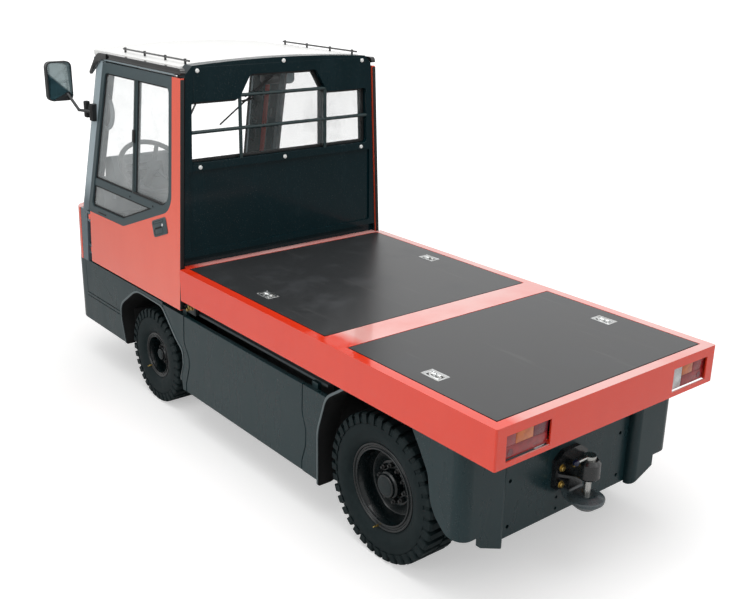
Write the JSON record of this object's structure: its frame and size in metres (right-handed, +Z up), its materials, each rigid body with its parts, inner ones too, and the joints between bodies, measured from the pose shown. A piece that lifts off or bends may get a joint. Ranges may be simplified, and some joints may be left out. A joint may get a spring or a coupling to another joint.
{
  "type": "electric platform truck with cab",
  "caption": "Electric airport baggage tug with a closed cab over the front axle, a flat load deck with lift-out covers, and a rear tow coupling.",
  "frame": {"origin": "middle of the truck's length and width, on the ground under the tyres", "axes": "+X towards the cab's front, +Y to the driver's left, +Z up"},
  "size_m": [3.535, 1.622, 1.871],
  "materials": {
    "deck_paint": "semi-gloss orange-red enamel",
    "cover_paint": "matt dark grey coating, dusty",
    "chassis_paint": "matt black",
    "lower_paint": "dark grey-green enamel",
    "cab_paint": "semi-gloss red enamel",
    "wall_paint": "dark blue-green enamel",
    "pillar_paint": "grey enamel",
    "roof_shell": "off-white moulded shell",
    "black_trim": "black trim",
    "clear_glass": "tinted safety glass",
    "lamp_lens": "lamp lens",
    "tyre_rubber": "worn road tyre",
    "wheel_paint": "black wheel enamel",
    "bare_steel": "worn steel",
    "seat_fabric": "dark woven cloth",
    "soft_plastic": "grained dark grey plastic"
  },
  "bodies": {
    "chassis": {"deck_frame": "deck_paint", "rear_lamps": "lamp_lens", "frame_rails": "chassis_paint", "battery_well": "chassis_paint", "sill_rails": "chassis_paint", "rear_plate": "chassis_paint", "arch_liners": "black_trim", "tow_coupling": "chassis_paint", "coupling_pin": "bare_steel", "side_panels": "lower_paint", "fenders": "lower_paint", "rear_fairings": "lower_paint", "front_bumper": "lower_paint", "headlamps": "lamp_lens", "cab_nose": "cab_paint", "cab_pillars": "pillar_paint", "cab_glass": "clear_glass", "cab_rear_wall": "wall_paint", "window_guard": "black_trim", "cab_floor": "chassis_paint", "seat_frames": "soft_plastic", "seat_cushions": "seat_fabric", "dashboard": "soft_plastic", "steering_wheel": "soft_plastic", "roof": "roof_shell", "roof_gutters": "black_trim", "roof_rods": "bare_steel", "battery": "chassis_paint", "drive_motor": "chassis_paint", "rear_axle": "chassis_paint", "front_axle": "chassis_paint", "mirrors": "black_trim", "wiper": "black_trim"},
    "cover_rear": {"cover_rear": "cover_paint"},
    "cover_front": {"cover_front": "cover_paint"},
    "door_left": {"door_skin_left": "cab_paint", "door_window_left": "black_trim", "door_glass_left": "clear_glass"},
    "knuckle_left": {"knuckle_left": "chassis_paint"},
    "wheel_front_left": {"tyre_front_left": "tyre_rubber", "rim_front_left": "wheel_paint"},
    "wheel_rear_left": {"tyre_rear_left": "tyre_rubber", "rim_rear_left": "wheel_paint"},
    "door_right": {"door_skin_right": "cab_paint", "door_window_right": "black_trim", "door_glass_right": "clear_glass"},
    "knuckle_right": {"knuckle_right": "chassis_paint"},
    "wheel_front_right": {"tyre_front_right": "tyre_rubber", "rim_front_right": "wheel_paint"},
    "wheel_rear_right": {"tyre_rear_right": "tyre_rubber", "rim_rear_right": "wheel_paint"}
  },
  "joints": [
    {"name": "steer_left", "type": "hinge", "parent": "chassis", "child": "knuckle_left", "pos_m": [0.8095, 0.43, 0.262], "axis": [0, 0, 1], "range_deg": [-35, 35]},
    {"name": "wheel_front_left_spin", "type": "hinge", "parent": "knuckle_left", "child": "wheel_front_left", "pos_m": [0.8095, 0.54, 0.262], "axis": [0, 1, 0], "continuous": true},
    {"name": "wheel_rear_left_spin", "type": "hinge", "parent": "chassis", "child": "wheel_rear_left", "pos_m": [-1.1125, 0.5275, 0.32], "axis": [0, 1, 0], "continuous": true},
    {"name": "door_left_hinge", "type": "hinge", "parent": "chassis", "child": "door_left", "pos_m": [1.5125, 0.628, 0.9], "axis": [0, 0, -1], "range_deg": [0, 80]},
    {"name": "steer_right", "type": "hinge", "parent": "chassis", "child": "knuckle_right", "pos_m": [0.8095, -0.43, 0.262], "axis": [0, 0, 1], "range_deg": [-35, 35]},
    {"name": "wheel_front_right_spin", "type": "hinge", "parent": "knuckle_right", "child": "wheel_front_right", "pos_m": [0.8095, -0.54, 0.262], "axis": [0, 1, 0], "continuous": true},
    {"name": "wheel_rear_right_spin", "type": "hinge", "parent": "chassis", "child": "wheel_rear_right", "pos_m": [-1.1125, -0.5275, 0.32], "axis": [0, 1, 0], "continuous": true},
    {"name": "door_right_hinge", "type": "hinge", "parent": "chassis", "child": "door_right", "pos_m": [1.5125, -0.628, 0.9], "axis": [0, 0, 1], "range_deg": [0, 80]},
    {"name": "cover_rear_lift", "type": "slide", "parent": "chassis", "child": "cover_rear", "axis": [0, 0, 1], "range_m": [0, 0.25]},
    {"name": "cover_front_lift", "type": "slide", "parent": "chassis", "child": "cover_front", "axis": [0, 0, 1], "range_m": [0, 0.25]}
  ],
  "couplings": [
    {"joint": "steer_right", "follows": "steer_left", "ratio": 1}
  ]
}
